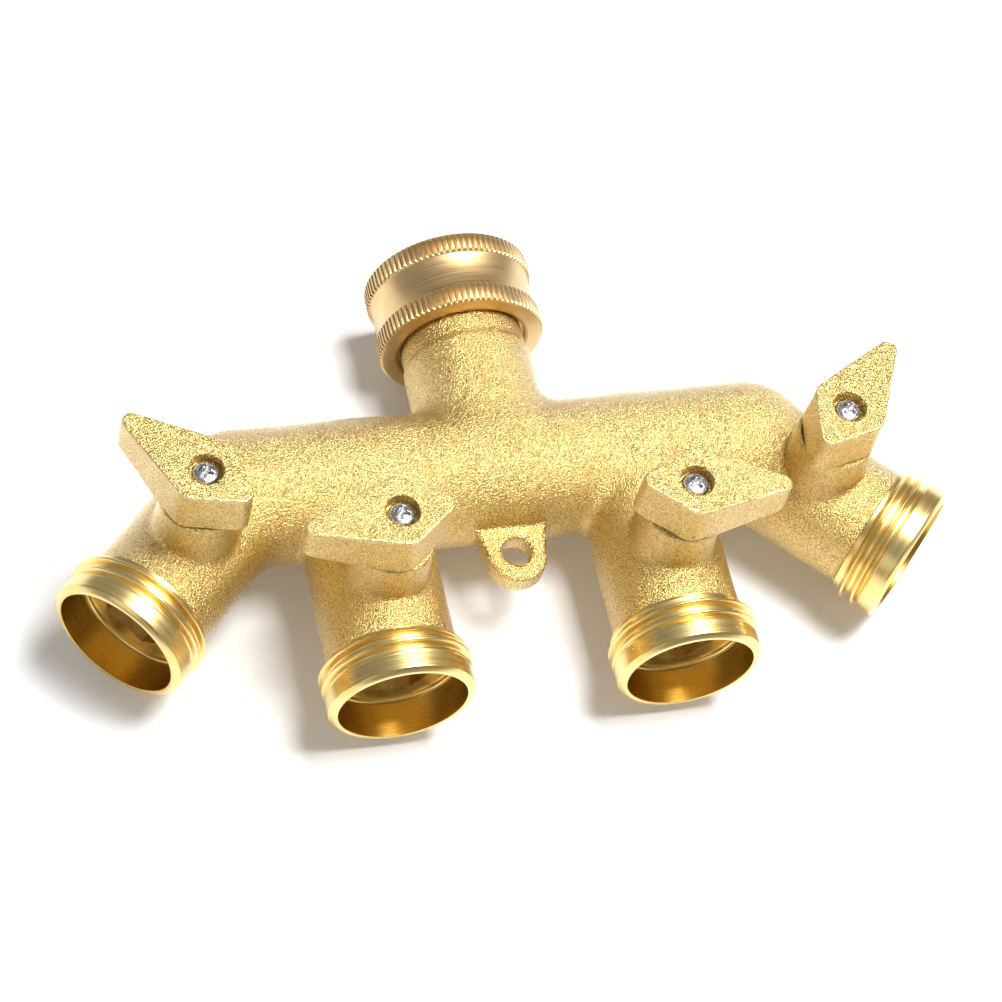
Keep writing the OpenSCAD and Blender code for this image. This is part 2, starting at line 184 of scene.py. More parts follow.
def surface_net(distance, low, high, step):
    """Quad mesh of a distance function's zero surface: one point in each grid cell that it crosses,
    moved onto the surface."""
    low = np.array(low, np.float32)
    counts = np.ceil((np.array(high) - low) / step).astype(int) + 1
    axes = [low[i] + step * np.arange(counts[i], dtype=np.float32) for i in range(3)]
    field = np.empty(counts, np.float32)
    yy, zz = np.meshgrid(axes[1], axes[2], indexing="ij")
    for i, x in enumerate(axes[0]):
        slab = np.stack([np.full(yy.size, x, np.float32), yy.ravel(), zz.ravel()], 1)
        field[i] = distance(slab).reshape(yy.shape)
    inside = field < 0
    total = np.zeros(counts - 1, np.int8)
    for corner in np.ndindex(2, 2, 2):
        total += inside[tuple(slice(c, c + n - 1) for c, n in zip(corner, counts))]
    cells = np.argwhere((total > 0) & (total < 8))
    number = np.full(counts - 1, -1, np.int64)
    number[tuple(cells.T)] = np.arange(len(cells))
    sums = np.zeros((len(cells), 3), np.float32)
    hits = np.zeros(len(cells), np.float32)
    for axis in range(3):
        for other in np.ndindex(2, 2):
            a = cells.copy()
            a[:, [i for i in range(3) if i != axis]] += other
            b = a.copy()
            b[:, axis] += 1
            fa, fb = field[tuple(a.T)], field[tuple(b.T)]
            cross = (fa < 0) != (fb < 0)
            share = np.where(cross, fa / np.where(cross, fa - fb, 1), 0)
            place = a.astype(np.float32)
            place[:, axis] += share
            sums[cross] += place[cross]
            hits += cross
    points = low + step * sums / hits[:, None]
    points = settle(distance, points, step)
    quads = []
    for axis in range(3):
        u, v = (axis + 1) % 3, (axis + 2) % 3
        first = [slice(1, -1)] * 3
        first[axis] = slice(0, -1)
        second = list(first)
        second[axis] = slice(1, None)
        changed = inside[tuple(first)] != inside[tuple(second)]
        at = np.argwhere(changed)
        at[:, [i for i in range(3) if i != axis]] += 1
        ring = []
        for du, dv in ((-1, -1), (0, -1), (0, 0), (-1, 0)):
            cell = at.copy()
            cell[:, u] += du
            cell[:, v] += dv
            ring.append(number[tuple(cell.T)])
        ring = np.stack(ring, 1)
        outward = inside[tuple(at.T)]
        ring[~outward] = ring[~outward][:, ::-1]
        quads.append(ring)
    return points, np.concatenate(quads)


def settle(distance, points, step, rounds=4):
    """Moves points onto the zero surface along the steepest way."""
    probe = 0.02 * step
    start = points
    for _ in range(rounds):
        value = distance(points)
        slope = np.stack([
            distance(points + probe * axis) - distance(points - probe * axis)
            for axis in np.eye(3, dtype=np.float32)], 1) / (2 * probe)
        steep = np.maximum((slope * slope).sum(1), 0.25)
        points = points - np.clip(value / steep, -0.5 * step, 0.5 * step)[:, None] * slope
    far = np.sqrt(((points - start) ** 2).sum(1)) > step
    return np.where(far[:, None], start, points)


def tidy(points, faces):
    """Merges points in the same place and drops the faces that this closes up."""
    _, first, where = np.unique(np.round(points, 5), axis=0, return_index=True, return_inverse=True)
    kept = []
    for face in where.ravel()[faces]:
        loop = [int(v) for k, v in enumerate(face) if v != face[k - 1]]
        if len(set(loop)) > 2:
            kept.append(loop)
    return points[first], kept


def lathe(outline, steps, close=True):
    """Turns a list of (radius, height) round Z.  A closed outline gives a closed ring."""
    turn = np.arange(steps) * 2 * math.pi / steps
    outline = np.array(outline, float)
    r, h = outline[:, :1], outline[:, 1:]
    points = np.stack([r * np.cos(turn), r * np.sin(turn), h + 0 * turn], 2).reshape(-1, 3)
    return points, grid_faces(len(outline), steps, close)


def grid_faces(rows, steps, close, first=0):
    """Faces between rows of points that each go once round.  Rows run up on the outside."""
    faces = []
    for row in range(rows if close else rows - 1):
        here, there = row * steps + first, (row + 1) % rows * steps + first
        for k in range(steps):
            after = (k + 1) % steps
            faces.append((here + k, here + after, there + after, there + k))
    return faces


def joined(*shapes):
    """Several (points, faces) as one, points in common merged."""
    points, faces, count = [], [], 0
    for shape_points, shape_faces in shapes:
        points.append(shape_points)
        faces.extend([[v + count for v in face] for face in shape_faces])
        count += len(shape_points)
    return np.concatenate(points), faces


def piece(name, points, faces, material, body, stands_for, place=None, crease=None):
    """A Blender object from points in millimetres.  Without a place, points are in the hand frame;
    with one, it is the matrix of the piece's own axes in the row frame, in metres."""
    mesh = bpy.data.meshes.new(name)
    points = np.asarray(points, float)
    if place is None:
        points = points + HAND
    mesh.from_pydata((points * MM).tolist(), [], [list(map(int, face)) for face in faces])
    mesh.validate()
    mesh.polygons.foreach_set("use_smooth", [True] * len(mesh.polygons))
    if crease:
        mesh.set_sharp_from_angle(angle=math.radians(crease))
    mesh.materials.append(material)
    obj = bpy.data.objects.new(name, mesh)
    bpy.context.scene.collection.objects.link(obj)
    if place is not None:
        obj.matrix_world = place
    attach(obj, body)
    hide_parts(*stands_for)
    return obj


def axes(centre, z_axis, x_hint):
    """Matrix of a piece's own axes: origin in hand-frame millimetres, +Z along z_axis."""
    z = Vector(z_axis).normalized()
    x = Vector(x_hint)
    x = (x - x.dot(z) * z).normalized()
    y = z.cross(x)
    place = Matrix((x, y, z)).transposed().to_4x4()
    place.translation = Vector((np.asarray(centre) + HAND) * MM)
    return place


# ---------------------------------------------------------------- materials


class Finish:
    """A Principled material with a few helpers for its nodes."""

    def __init__(self, name, **sockets):
        self.material = bpy.data.materials.new(name)
        self.material.use_nodes = True
        self.tree = self.material.node_tree
        self.shader = self.tree.nodes["Principled BSDF"]
        for socket, value in sockets.items():
            self.shader.inputs[socket.replace("_", " ")].default_value = value
        self.place = self.tree.nodes.new("ShaderNodeTexCoord").outputs["Object"]

    def node(self, kind, **inputs):
        node = self.tree.nodes.new("ShaderNode" + kind)
        for socket, value in inputs.items():
            self.feed(node.inputs[socket.replace("_", " ")], value)
        return node

    def feed(self, socket, value):
        if isinstance(value, bpy.types.NodeSocket):
            self.tree.links.new(value, socket)
        else:
            socket.default_value = value

    def stretched(self, x, y, z):
        """The piece's coordinates, stretched."""
        return self.node("Mapping", Vector=self.place, Scale=(x, y, z)).outputs["Vector"]

    # scales are in repeats per metre
    def noise(self, scale, detail=3.0, roughness=0.55, vector=None):
        return self.node("TexNoise", Vector=vector or self.place, Scale=scale, Detail=detail,
                         Roughness=roughness).outputs["Fac"]

    def ramp(self, value, stops):
        node = self.node("ValToRGB", Fac=value)
        elements = node.color_ramp.elements
        while len(elements) < len(stops):
            elements.new(0.5)
        for element, (position, colour) in zip(elements, stops):
            element.position = position
            element.color = colour if len(colour) == 4 else (*colour, 1)
        return node.outputs["Color"]

    def level(self, value, low, high, to_low, to_high):
        """value moved from one range to another."""
        return self.node("MapRange", Value=value, From_Min=low, From_Max=high, To_Min=to_low,
                         To_Max=to_high).outputs["Result"]

    def mixed(self, blend, factor, first, second):
        node = self.tree.nodes.new("ShaderNodeMix")
        node.data_type = "RGBA"
        node.blend_type = blend
        self.feed(node.inputs["Factor"], factor)
        self.feed(node.inputs[6], first)
        self.feed(node.inputs[7], second)
        return node.outputs[2]

    def bump(self, height, strength, distance):
        node = self.node("Bump", Height=height, Strength=strength, Distance=distance * MM)
        return node.outputs["Normal"]

    def use(self, **sockets):
        for socket, value in sockets.items():
            self.feed(self.shader.inputs[socket.replace("_", " ")], value)
        return self.material


def cast_brass():
    """Sand-cast, shot-blasted brass: fine bright pebbles between dark pits, over slow changes of
    colour, smoothed by wear on sharp edges, where a painted highlight also lightens the colour."""
    finish = Finish("cast_brass", Metallic=1.0, Coat_Weight=1.0, Coat_IOR=2.2, Coat_Roughness=0.24)
    grain = finish.noise(3600, detail=1.5, roughness=0.6)
    patches = finish.noise(90, detail=3.0)
    colour = finish.ramp(patches, [(0.30, (0.83, 0.55, 0.08)), (0.70, (0.90, 0.66, 0.14))])
    # real wear and painted edge highlight: sharp edges lose their pits and bumps from wear, and their colour is
    # lightened to stand in for light caught on the rounded edges
    edge = finish.node("Attribute")
    edge.attribute_name = "wear_and_highlight"
    patchy = finish.level(finish.noise(420, detail=2.0), 0.35, 0.65, 0.15, 0.85)
    wear_and_highlight = finish.node("Math", Value=edge.outputs["Fac"])
    wear_and_highlight.operation = "MULTIPLY"
    finish.feed(wear_and_highlight.inputs[1], patchy)
    wear_and_highlight = wear_and_highlight.outputs["Value"]
    pits = finish.ramp(grain, [(0.39, (0.40, 0.27, 0.06)), (0.53, (1.0, 1.0, 1.0))])
    depth = finish.level(wear_and_highlight, 0.0, 1.0, 0.85, 0.1)
    pitted = finish.mixed("MULTIPLY", depth, colour, pits)
    # painted edge highlight: this pale brass colour stands in for the light caught on rounded edges
    bright = finish.mixed("MIX", wear_and_highlight, pitted, (0.94, 0.76, 0.38, 1))
    rough = finish.level(grain, 0.3, 0.7, 0.46, 0.27)
    bump = finish.bump(grain, finish.level(wear_and_highlight, 0.0, 1.0, 1.0, 0.2), 0.32)
    return finish.use(Base_Color=bright, Roughness=rough, Normal=bump, Coat_Normal=bump)


def brushed(name, dark, light, coarse, fine, gloss, polish, bore):
    """Turned brass with the fine rings that the tool leaves round the piece's own Z axis, with
    painted shade darkening the wall of its bore."""
    finish = Finish(name, Metallic=1.0, Coat_Weight=polish, Coat_IOR=1.6, Coat_Roughness=0.2)
    rings = finish.noise(1.0, detail=4.0, vector=finish.stretched(coarse, coarse, fine))
    patches = finish.noise(150, detail=2.0)
    colour = finish.ramp(patches, [(0.30, dark), (0.70, light)])
    streaks = finish.ramp(rings, [(0.35, (0.72, 0.66, 0.55)), (0.60, (1.0, 1.0, 1.0))])
    rough = finish.level(rings, 0.3, 0.7, gloss, gloss + 0.12)
    outside = finish.mixed("MULTIPLY", 0.3, colour, streaks)
    radius = finish.node("VectorMath", Vector=finish.stretched(1, 1, 0))
    radius.operation = "LENGTH"
    share = finish.level(radius.outputs["Value"], (bore - 1) * MM, (bore + 1) * MM, 0.0, 1.0)
    black, white = (0, 0, 0), (1, 1, 1)
    # painted shade: a mask on the wall of the bore, where shade falls inside the mouth
    bore_shade = finish.ramp(share, [(0.25, black), (0.33, white), (0.52, white), (0.57, black)])
    # darker brass colour painted as the shade inside the bore
    inside = finish.mixed("MULTIPLY", 1.0, colour, (0.62, 0.50, 0.20, 1))
    return finish.use(Base_Color=finish.mixed("MIX", bore_shade, outside, inside), Roughness=rough,
                      Normal=finish.bump(rings, finish.level(bore_shade, 0.0, 1.0, 0.3, 0.05), 0.06))


def turned_brass():
    """Bright brass of the turned outlet ends."""
    return brushed("turned_brass", (0.86, 0.61, 0.20), (0.92, 0.73, 0.32), 60, 5200, 0.24, 0.4,
                   MOUTH_R)


def nut_brass():
    """Brushed brass of the swivel nut, a little pinker than the casting."""
    return brushed("nut_brass", (0.68, 0.46, 0.20), (0.80, 0.58, 0.30), 90, 4200, 0.34, 0.3,
                   FEMALE_CREST)


def shaded_socket_brass():
    """Brass of the parts deep inside the mouths, painted darker and browner as shade, in random cloudy patches."""
    finish = Finish("shaded_socket_brass", Metallic=1.0)
    cloud = finish.noise(420, detail=3.0)
    # painted shade: darker, browner brass for parts that sit in the shade inside the mouths
    colour = finish.ramp(cloud, [(0.35, (0.56, 0.36, 0.11)), (0.65, (0.78, 0.56, 0.20))])
    return finish.use(Base_Color=colour, Roughness=finish.level(cloud, 0.3, 0.7, 0.30, 0.45),
                      Normal=finish.bump(cloud, 0.3, 0.1))


def bright_plating():
    """Bright zinc on the screws."""
    finish = Finish("plated_screw", Metallic=1.0)
    haze = finish.noise(2400, detail=2.0)
    colour = finish.ramp(haze, [(0.3, (0.46, 0.46, 0.47)), (0.7, (0.62, 0.62, 0.63))])
    return finish.use(Base_Color=colour, Roughness=finish.level(haze, 0.3, 0.7, 0.18, 0.32))


def ball_plating():
    """Polished plating on the valve balls."""
    finish = Finish("plated_ball", Metallic=1.0)
    haze = finish.noise(500, detail=3.0)
    colour = finish.ramp(haze, [(0.3, (0.74, 0.73, 0.70)), (0.7, (0.84, 0.83, 0.80))])
    return finish.use(Base_Color=colour, Roughness=finish.level(haze, 0.3, 0.7, 0.08, 0.2))


def rubber():
    """Matt black rubber."""
    finish = Finish("rubber", Specular_IOR_Level=0.35)
    grain = finish.noise(1800, detail=3.0)
    colour = finish.ramp(grain, [(0.3, (0.014, 0.014, 0.015)), (0.7, (0.03, 0.03, 0.031))])
    return finish.use(Base_Color=colour, Roughness=finish.level(grain, 0.3, 0.7, 0.55, 0.75),
                      Normal=finish.bump(grain, 0.3, 0.05))


def seat_plastic():
    """Smooth white PTFE."""
    finish = Finish("seat_plastic", Specular_IOR_Level=0.4)
    cloud = finish.noise(300, detail=2.0)
    colour = finish.ramp(cloud, [(0.3, (0.80, 0.80, 0.77)), (0.7, (0.90, 0.90, 0.88))])
    return finish.use(Base_Color=colour, Roughness=finish.level(cloud, 0.3, 0.7, 0.35, 0.5))


MATERIALS = {
    "cast_brass": cast_brass(),
    "turned_brass": turned_brass(),
    "nut_brass": nut_brass(),
    "plated_screw": bright_plating(),
    "plated_ball": ball_plating(),
    "rubber": rubber(),
    "seat_plastic": seat_plastic(),
}

# ---------------------------------------------------------------- the casting


def ear_distance(points):
    """The flat mounting ear with its rounded end."""
    x, y, z = np.abs(points[:, 0]), points[:, 1], points[:, 2]
    root_half, root_y = 6.7, -10.25
    rise = root_y + EAR_END_Y
    slant = math.hypot(root_half - EAR_R, rise)
    side = ((x - EAR_R) * rise - (y + EAR_END_Y) * (root_half - EAR_R)) / slant
    web = np.maximum(side, np.maximum(-EAR_END_Y - y, y + 4))
    disc = length(x, y + EAR_END_Y) - EAR_R
    return round_cut(np.minimum(web, disc), np.abs(z) - EAR_HALF_H, 0.3)


def elbow_corner(points, valve):
    """The outer corner where the cross tube and an outer outlet meet in a mitre."""
    rel = points - valve.start.astype(np.float32)
    _, off = along(points, valve.start, valve.heading)
    tube = length(rel[:, 1], rel[:, 2]) - TUBE_R
    corner = round_cut(tube, off - BARREL_R - 0.4, 3.0)
    return np.maximum(corner, length(*rel.T) - 14.5)


def stop_distance(points, valve):
    """The arc in a boss top that the lever's lug runs in."""
    x, y, z = (points - valve.centre.astype(np.float32)).T
    off = length(x, y)
    lug = valve.closed + math.pi
    middle = lug + valve.turn * math.pi / 4
    half = math.radians(45 + STOP_MARGIN)
    run = x * math.cos(middle) + y * math.sin(middle)
    across = np.abs(y * math.cos(middle) - x * math.sin(middle))
    sector = across * math.cos(half) - run * math.sin(half)
    return np.maximum(np.maximum(off - STOP_R, STOP_IN_R - off),
                      np.maximum(sector, BOSS_TOP - STOP_DEPTH - z))


def casting_distance(points):
    """The whole cast body: tubes, elbows, ear and bosses, less everything hollow."""
    up, inlet, cross = (0, 0, 1), (0, 1, 0), (1, 0, 0)
    body = capsule(points, (-ELBOW_X, 0, 0), cross, TUBE_R, 2 * ELBOW_X)
    run, off = along(points, (0, 0, 0), inlet)
    neck_r = NECK_R - (NECK_R - NECK_END_R) * np.clip((run - NECK_STEP_Y) / 0.5 + 0.5, 0, 1)
    neck = np.maximum(off - neck_r, -run)
    body = round_union(body, neck, 3.0)
    for valve in VALVES:
        body = round_union(body, capsule(points, valve.start, valve.heading, BARREL_R, 60), 1.8)
        if abs(valve.start[0]) == ELBOW_X:
            body = np.minimum(body, elbow_corner(points, valve))
    body = round_union(body, ear_distance(points), 0.6)
    for valve in VALVES:
        run, off = along(points, valve.centre, up)
        taper = (BOSS_R - BOSS_TOP_R) * np.clip((run - BARREL_R) / (BOSS_TOP - BARREL_R), 0, 1)
        boss = round_cut(off - BOSS_R + taper, np.abs(run) - BOSS_TOP, 0.25)
        boss = np.where(run > 0, boss, off + 10)
        body = round_union(body, boss, 0.9)
    body = body + waviness(points, CAST_WAVE)
    body = np.maximum(body, points[:, 1] - NECK_END_Y)
    hollow = bar(points, (0, 0, 0), cross, GALLERY_R, -GALLERY_HALF, GALLERY_HALF)
    hollow = np.minimum(hollow, bar(points, (0, 0, 0), cross, WATERWAY_R, -ELBOW_X, ELBOW_X))
    hollow = np.minimum(hollow, bar(points, (0, 0, 0), inlet, INLET_BORE_R, 0, 40))
    hollow = np.minimum(hollow, bar(points, (0, 0, 0), inlet, SPIGOT_R, SPIGOT_Y, 40))
    hollow = np.minimum(hollow, bar(points, (0, -EAR_Y, 0), up, EAR_HOLE_R, -9, 9))
    for valve in VALVES:
        run, off = along(points, valve.centre, valve.heading)
        body = np.maximum(body, run - THREAD_U - 0.15)
        back = float(np.linalg.norm(valve.centre - valve.start))
        hollow = np.minimum(hollow, bar(points, valve.start, valve.heading, WATERWAY_R, 0, back))
        hollow = np.minimum(hollow, bar(points, valve.centre, valve.heading, CHAMBER_R,
                                        -SEAT_BACK_U, SEAT_BACK_U))
        hollow = np.minimum(hollow, bar(points, valve.centre, valve.heading, RETAINER_BORE_R,
                                        SEAT_BACK_U, 20))
        hollow = np.minimum(hollow, bar(points, valve.centre, up, POCKET_R, 0, POCKET_TOP))
        hollow = np.minimum(hollow, bar(points, valve.centre, up, STEM_BORE_R, 0, 30))
        hollow = np.minimum(hollow, stop_distance(points, valve))
    return np.maximum(body, -hollow)


def make_casting():
    """The cast body, kept under the 200,000 triangles that an exported mesh may have."""
    low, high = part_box("manifold_body")
    low, high = np.array(low) / MM - HAND - 1, np.array(high) / MM - HAND + 1
    step = 0.66
    points, faces = surface_net(casting_distance, low, high, step)
    return piece("cast_body", points, faces, MATERIALS["cast_brass"], "root", ["manifold_body"])


# ---------------------------------------------------------------- turned outlet ends


def thread_height(phase, crest=0.10, root=0.72):
    """Height of a thread at a share of its pitch, 0 at the root and 1 on the crest."""
    away = np.abs(2 * (phase - np.floor(phase)) - 1)
    rise = np.clip((root - away) / (root - crest), 0, 1)
    return 0.4 * rise + 0.6 * rise * rise * (3 - 2 * rise)


def smooth(share):
    """A share from 0 to 1, eased at both ends."""
    share = np.clip(share, 0, 1)
    return share * share * (3 - 2 * share)


def helix_band(radius, low, high, steps, rows_per_pitch):
    """A band between two heights whose rows follow the thread.  radius(turn, height) gives its
    radius.  Its two ends are level rings."""
    drop = PITCH / rows_per_pitch
    rows = int(math.ceil((high - low + PITCH) / drop)) + 1
    turn = np.arange(steps) * 2 * math.pi / steps
    height = low - PITCH + drop * np.arange(rows)[:, None] + PITCH * turn / (2 * math.pi)
    height = np.clip(height, low, high)
    r = radius(turn[None, :], height)
    points = np.stack([r * np.cos(turn), r * np.sin(turn), height], 2).reshape(-1, 3)
    faces = []
    for row in range(rows - 1):
        for k in range(steps):
            if k + 1 < steps:
                faces.append((row * steps + k, row * steps + k + 1,
                              (row + 1) * steps + k + 1, (row + 1) * steps + k))
            elif row + 1 + rows_per_pitch < rows:
                over = (row + rows_per_pitch) * steps
                faces.append((row * steps + k, over, over + steps, (row + 1) * steps + k))
    return points, faces


def male_radius(start):
    """Radius of an outlet's thread round its turn and along its axis."""
    def radius(turn, height):
        phase = (height - THREAD_U - 0.5) / PITCH - turn / (2 * math.pi) + start
        run_in = smooth((height - THREAD_U - 0.2) / 1.3)
        crest = MALE_CREST - 0.05 * (height - THREAD_U)
        ridge = MALE_ROOT + (crest - MALE_ROOT) * run_in * thread_height(phase)
        lead = smooth((height - BAND_U + 0.6) / 0.6)
        return (1 - lead) * ridge + lead * RIM_R
    return radius


def arc(centre, radius, start, end, count):
    """Points on an arc, angles in degrees."""
    turns = np.radians(np.linspace(start, end, count))
    return [(centre[0] + radius * math.cos(t), centre[1] + radius * math.sin(t)) for t in turns]


def make_outlet_end(valve, start):
    """The turned end of an outlet: thread, plain band, bevelled lip, mouth and step."""
    steps = 180
    outside = helix_band(male_radius(start), THREAD_U, BEVEL_U, steps, 20)
    rim = arc((RIM_R - 0.3, BEVEL_U), 0.3, 0, 40, 3)
    rim += arc((LIP_R - 0.2, MOUTH_U - 0.2), 0.2, 40, 90, 4)
    rim += arc((MOUTH_R + 0.15, MOUTH_U - 0.15), 0.15, 90, 180, 4)
    outside = joined(outside, lathe(rim, steps, close=False))
    hollow = [(MOUTH_R, MOUTH_U - 0.15), (MOUTH_R, STEP_U + 0.12), (MOUTH_R - 0.10, STEP_U),
              (STEP_R + 0.25, STEP_U), (STEP_R, STEP_U - 0.25), (STEP_R, RETAINER_U),
              (RETAINER_BORE_R, RETAINER_U), (RETAINER_BORE_R, THREAD_U), (MALE_ROOT, THREAD_U)]
    points, faces = tidy(*joined(outside, lathe(hollow, steps, close=False)))
    return piece(f"outlet_end_{valve.number}", points, faces, MATERIALS["turned_brass"], "root",
                 ["manifold_body"],
                 axes(valve.centre, valve.heading, (0, 0, -1)), crease=50)


# ---------------------------------------------------------------- swivel nut


def knurled_ring(low, high):
    """Rows of (radius, height, share of the knurl's depth) for one knurled ring."""
    edge = [(NUT_R - 0.42, 0.12, 0.15), (NUT_R - 0.16, 0.32, 0.75), (NUT_R, 0.55, 1)]
    return ([(r, low + inset, share) for r, inset, share in edge]
            + [(r, high - inset, share) for r, inset, share in reversed(edge)])


def make_nut():
    """The swivel nut, from its back face round the knurls to its inner thread."""
    per_tooth = 6
    steps = KNURL_TEETH * per_tooth
    turn = np.arange(steps) * 2 * math.pi / steps
    share = (np.arange(steps) % per_tooth) / per_tooth
    valley = np.clip((np.abs(2 * share - 1) - 0.30) / 0.55, 0, 1)
    back, front = NUT_BACK_Y, NUT_FRONT_Y
    band_low, band_high = back + KNURL_LEN, front - KNURL_LEN
    rows = [(NUT_COLLAR_R, back + 1, 0), (NUT_COLLAR_R, back + 0.15, 0),
            (NUT_COLLAR_R + 0.15, back, 0), (14.5, back, 0), (14.7, back + 0.08, 0)]
    rows += knurled_ring(back, band_low)
    rows += [(NUT_BAND_R + 0.05, band_low, 0), (NUT_BAND_R, band_low + 0.1, 0),
             (NUT_BAND_R, band_high - 0.1, 0), (NUT_BAND_R + 0.05, band_high, 0)]
    rows += knurled_ring(band_high, front)
    rows += [(14.6, front, 0), (FEMALE_ROOT + 0.6, front, 0), (FEMALE_ROOT + 0.3, front - 0.15, 0),
             (FEMALE_ROOT, front - NUT_LEAD, 0)]
    radii, heights, knurled = np.array(rows).T[:, :, None]
    r = radii - KNURL_DEPTH * valley * knurled
    h = heights + 0 * turn
    outside = (np.stack([r * np.cos(turn), r * np.sin(turn), h], 2).reshape(-1, 3),
               grid_faces(len(rows), steps, False))

    def female_radius(around, height):
        phase = (height - NUT_THREAD_Y - 0.9) / PITCH + 0.5 - around / (2 * math.pi)
        ends = (np.clip((height - NUT_THREAD_Y) / 0.5, 0, 1)
                * np.clip((front - NUT_LEAD - height) / 0.5, 0, 1))
        return FEMALE_ROOT - (FEMALE_ROOT - FEMALE_CREST) * thread_height(phase) * ends

    thread_points, thread_faces = helix_band(female_radius, NUT_THREAD_Y, front - NUT_LEAD,
                                             steps // 3, 20)
    thread_faces = [face[::-1] for face in thread_faces]
    hollow = [(FEMALE_ROOT, NUT_THREAD_Y), (NUT_SEAT_R, NUT_THREAD_Y), (NUT_SEAT_R, NUT_SEAT_Y),
              (NUT_HOLE_R, NUT_SEAT_Y), (NUT_HOLE_R, back + 1), (NUT_COLLAR_R, back + 1)]
    inside = lathe(hollow, steps // 3, close=False)
    place = axes((0, 0, 0), (0, 1, 0), (1, 0, 0))
    points, faces = tidy(*joined(outside, (thread_points, thread_faces), inside))
    return piece("swivel_nut_turned", points, faces, MATERIALS["nut_brass"], "nut", ["swivel_nut"],
                 place, crease=35)


# ---------------------------------------------------------------- levers and screws


def tangent_heading(a, b):
    """Heading of the outer tangent from disc a to disc b, discs as (x, y, r)."""
    run, rise = b[0] - a[0], b[1] - a[1]
    return math.atan2(rise, run) - math.acos((a[2] - b[2]) / math.hypot(run, rise))


def blade_sides(discs):
    """Outward normals and offsets of the outline drawn tightly round a ring of discs."""
    sides = []
    for i, disc in enumerate(discs):
        start = tangent_heading(discs[i - 1], disc)
        end = tangent_heading(disc, discs[(i + 1) % len(discs)])
        sweep = (end - start) % (2 * math.pi)
        for k in range(9):
            a = start + sweep * k / 8
            n = (math.cos(a), math.sin(a))
            sides.append((n[0], n[1], n[0] * disc[0] + n[1] * disc[1] + disc[2]))
    return np.array(sides, np.float32)


BLADE = blade_sides([(17 - 1.9, 0, 1.9), (0.3, 6.8 - 4, 4), (2.2 - 9.3, 0, 2.2), (0.3, 4 - 6.8, 4)])


def lever_sides(points):
    """Distances to a lever's side walls and to its top or underside, whichever is nearer."""
    x, y, z = points.T
    outline = np.full(len(points), -1e3, np.float32)
    for nx, ny, offset in BLADE:
        outline = np.maximum(outline, nx * x + ny * y - offset)
    under = LEVER_UNDER + LEVER_RISE * np.clip(x - LEVER_RISE_X, 0, 12)
    middle, half = (LEVER_TOP + under) / 2, (LEVER_TOP - under) / 2
    return outline + LEVER_DRAFT * (z - DRAFT_Z), np.abs(z - middle) - half


def lever_distance(points):
    """A lever in its own frame: nose along +X, heights from the cross tube's axis."""
    x, y, z = points.T
    shape = round_cut(*lever_sides(points), LEVER_EDGE)
    shape = shape + waviness(points * 1.7, LEVER_WAVE)
    off = length(x, y)
    lug_half = math.radians(LUG_HALF_ANGLE)
    sector = np.abs(y) * math.cos(lug_half) + x * math.sin(lug_half)
    lug = np.maximum(np.maximum(off - STOP_R + 0.2, LUG_IN_R - off),
                     np.maximum(sector, np.abs(z - LUG_Z) - 1))
    shape = np.minimum(shape, lug)
    recess = np.maximum(off - RECESS_R, RECESS_Z - z)
    socket = np.maximum(np.maximum(off - 3.15, np.abs(y) - 2.35), z - 24.3)
    hollow = np.minimum(np.minimum(recess, socket), off - 1.45)
    return round_cut(shape, -hollow, 0.12)


def make_lever_shape():
    """Mesh that all four levers share."""
    step = 0.22
    return surface_net(lever_distance, (-10.5, -8.2, 17.4), (18.2, 8.2, 29.8), step)


def make_lever(valve, shape):
    """One lever, with how much edge wear and painted edge highlight each point gets: all of it near an edge and
    none on a flat.
    """
    points, faces = shape
    c, s = math.cos(valve.rest), math.sin(valve.rest)
    turned = points @ np.array([[c, s, 0], [-s, c, 0], [0, 0, 1]]) + valve.centre
    lever = piece(f"lever_cast_{valve.number}", turned, faces, MATERIALS["cast_brass"],
                  f"valve_{valve.number}", [f"lever_{valve.number}"])
    wall, face = lever_sides(points)
    # share of the edge wear and of the painted edge highlight at each point
    wear_and_highlight = np.clip(1.7 * (np.minimum(wall, face) / LEVER_EDGE + 1) - 0.1, 0, 1)
    lever.data.attributes.new("wear_and_highlight", "FLOAT", "POINT").data.foreach_set("value", wear_and_highlight)


def screw_distance(points):
    """A pan-head screw with a cross recess, heights from the cross tube's axis."""
    x, y, z = points.T
    dome = length(x, y, z - (HEAD_TOP - 5)) - 5
    head = round_cut(np.maximum(length(x, y) - HEAD_R, RECESS_Z - z), dome, 0.45)
    depth = HEAD_TOP - z
    narrow, wide = np.minimum(np.abs(x), np.abs(y)), np.maximum(np.abs(x), np.abs(y))
    arm = np.maximum(narrow - (0.38 - 0.08 * depth), wide - (1.5 - 0.6 * depth))
    star = length(x, y) - (0.75 - 0.25 * depth)
    cross = np.maximum(np.minimum(arm, star), depth - 1.15)
    return np.maximum(head, -cross)


def make_screw_shape():
    """Mesh that all four screws share, a shaped head on a plain shank."""
    step = 0.08
    head = surface_net(screw_distance, (-2.7, -2.7, 26.1), (2.7, 2.7, 28.6), step)
    shank = lathe([(0.0, 17.0), (0.6, 17.2), (1.2, 18.2), (1.2, 26.5), (0.0, 26.5)], 24, False)
    return joined(head, shank)


def make_screw(valve, shape, twist):
    """One screw, its cross turned by twist from its lever's heading."""
    points, faces = shape
    a = valve.rest + twist
    c, s = math.cos(a), math.sin(a)
    turned = points @ np.array([[c, s, 0], [-s, c, 0], [0, 0, 1]]) + valve.centre
    return piece(f"screw_{valve.number}", turned, faces, MATERIALS["plated_screw"],
                 f"valve_{valve.number}", [f"lever_screw_{valve.number}"])


# ---------------------------------------------------------------- build

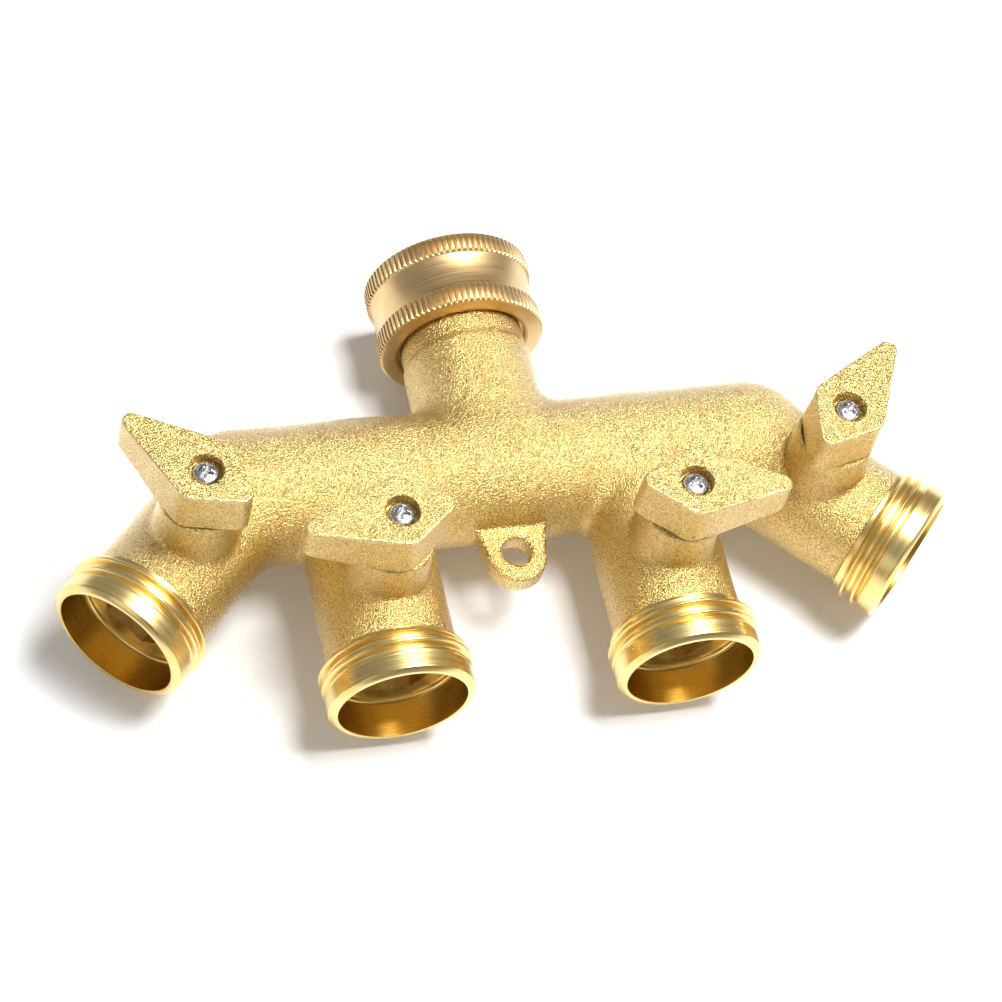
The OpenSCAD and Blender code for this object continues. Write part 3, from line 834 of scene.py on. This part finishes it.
make_casting()
for valve, thread_start in zip(VALVES, (0.50, 0.755, 0.30, 0.60)):
    make_outlet_end(valve, thread_start)
make_nut()
lever_shape = make_lever_shape()
screw_shape = make_screw_shape()
for valve, twist in zip(VALVES, (0.3, 1.1, 0.7, 1.4)):
    make_lever(valve, lever_shape)
    make_screw(valve, screw_shape, twist)

slots = {entry["node"]: entry["material_slot"] for entry in frame["record"]["subparts"]}
retainer_shaded_finish = shaded_socket_brass()
for name, node in frame["nodes"].items():
    node.data.materials.clear()
    # seat retainers inside the mouths get the darker brass painted as shade
    in_mouth = name.startswith("seat_retainer")
    node.data.materials.append(retainer_shaded_finish if in_mouth else MATERIALS[slots[name]])

# ---------------------------------------------------------------- floor, light and camera


def make_floor():
    """A plain pale floor that glows faintly, so that shadows on it stay soft."""
    half = 1.2
    mesh = bpy.data.meshes.new("floor")
    mesh.from_pydata([(-half, -half, 0), (half, -half, 0), (half, half, 0), (-half, half, 0)], [],
                     [(0, 1, 2, 3)])
    finish = Finish("floor", Roughness=0.9, Emission_Color=(1, 1, 1, 1), Emission_Strength=0.08)
    cloud = finish.noise(8)
    colour = finish.ramp(cloud, [(0.3, (0.90, 0.90, 0.90)), (0.7, (0.93, 0.93, 0.93))])
    mesh.materials.append(finish.use(Base_Color=colour))
    floor = bpy.data.objects.new("floor", mesh)
    bpy.context.scene.collection.objects.link(floor)


def make_area(name, place, target, width, height, watts):
    """A soft box that faces the target."""
    light = bpy.data.lights.new(name, "AREA")
    light.shape = "RECTANGLE"
    light.size = width
    light.size_y = height
    light.energy = watts
    lamp = bpy.data.objects.new(name, light)
    lamp.location = place
    lamp.rotation_euler = (Vector(target) - Vector(place)).to_track_quat("-Z", "Y").to_euler()
    bpy.context.scene.collection.objects.link(lamp)


def make_world():
    """Even white light from all round."""
    world = bpy.data.worlds.new("studio")
    world.use_nodes = True
    world.node_tree.nodes["Background"].inputs["Color"].default_value = (1, 1, 1, 1)
    world.node_tree.nodes["Background"].inputs["Strength"].default_value = 0.26
    bpy.context.scene.world = world


def make_camera():
    """The camera, placed by its angle and distance from a point in the hand frame."""
    azimuth, elevation, roll = math.radians(-28.967), math.radians(57.142), math.radians(19.103)
    distance = 603.04
    target = np.array([0.0, -5.6, 0.0])
    back = np.array([math.sin(azimuth) * math.cos(elevation),
                     -math.cos(azimuth) * math.cos(elevation), math.sin(elevation)])
    right = np.array([math.cos(azimuth), math.sin(azimuth), 0])
    up = np.cross(back, right)
    turned_right = right * math.cos(roll) + up * math.sin(roll)
    turned_up = up * math.cos(roll) - right * math.sin(roll)
    data = bpy.data.cameras.new("camera")
    data.sensor_width = 36
    data.lens = 121.94
    data.clip_start = 0.01
    camera = bpy.data.objects.new("camera", data)
    place = Matrix((Vector(turned_right), Vector(turned_up), Vector(back))).transposed().to_4x4()
    place.translation = Vector((target + back * distance + HAND) * MM)
    camera.matrix_world = place
    bpy.context.scene.collection.objects.link(camera)
    bpy.context.scene.camera = camera


make_floor()
make_world()
make_area("key", (0.21, 0.02, 0.77), (0, 0, 0.02), 0.34, 0.34, 9.8)
make_area("side", (-0.55, -0.35, 0.35), (0, 0, 0.02), 0.4, 0.3, 0.4)
make_camera()
bpy.context.scene.view_settings.view_transform = "Standard"
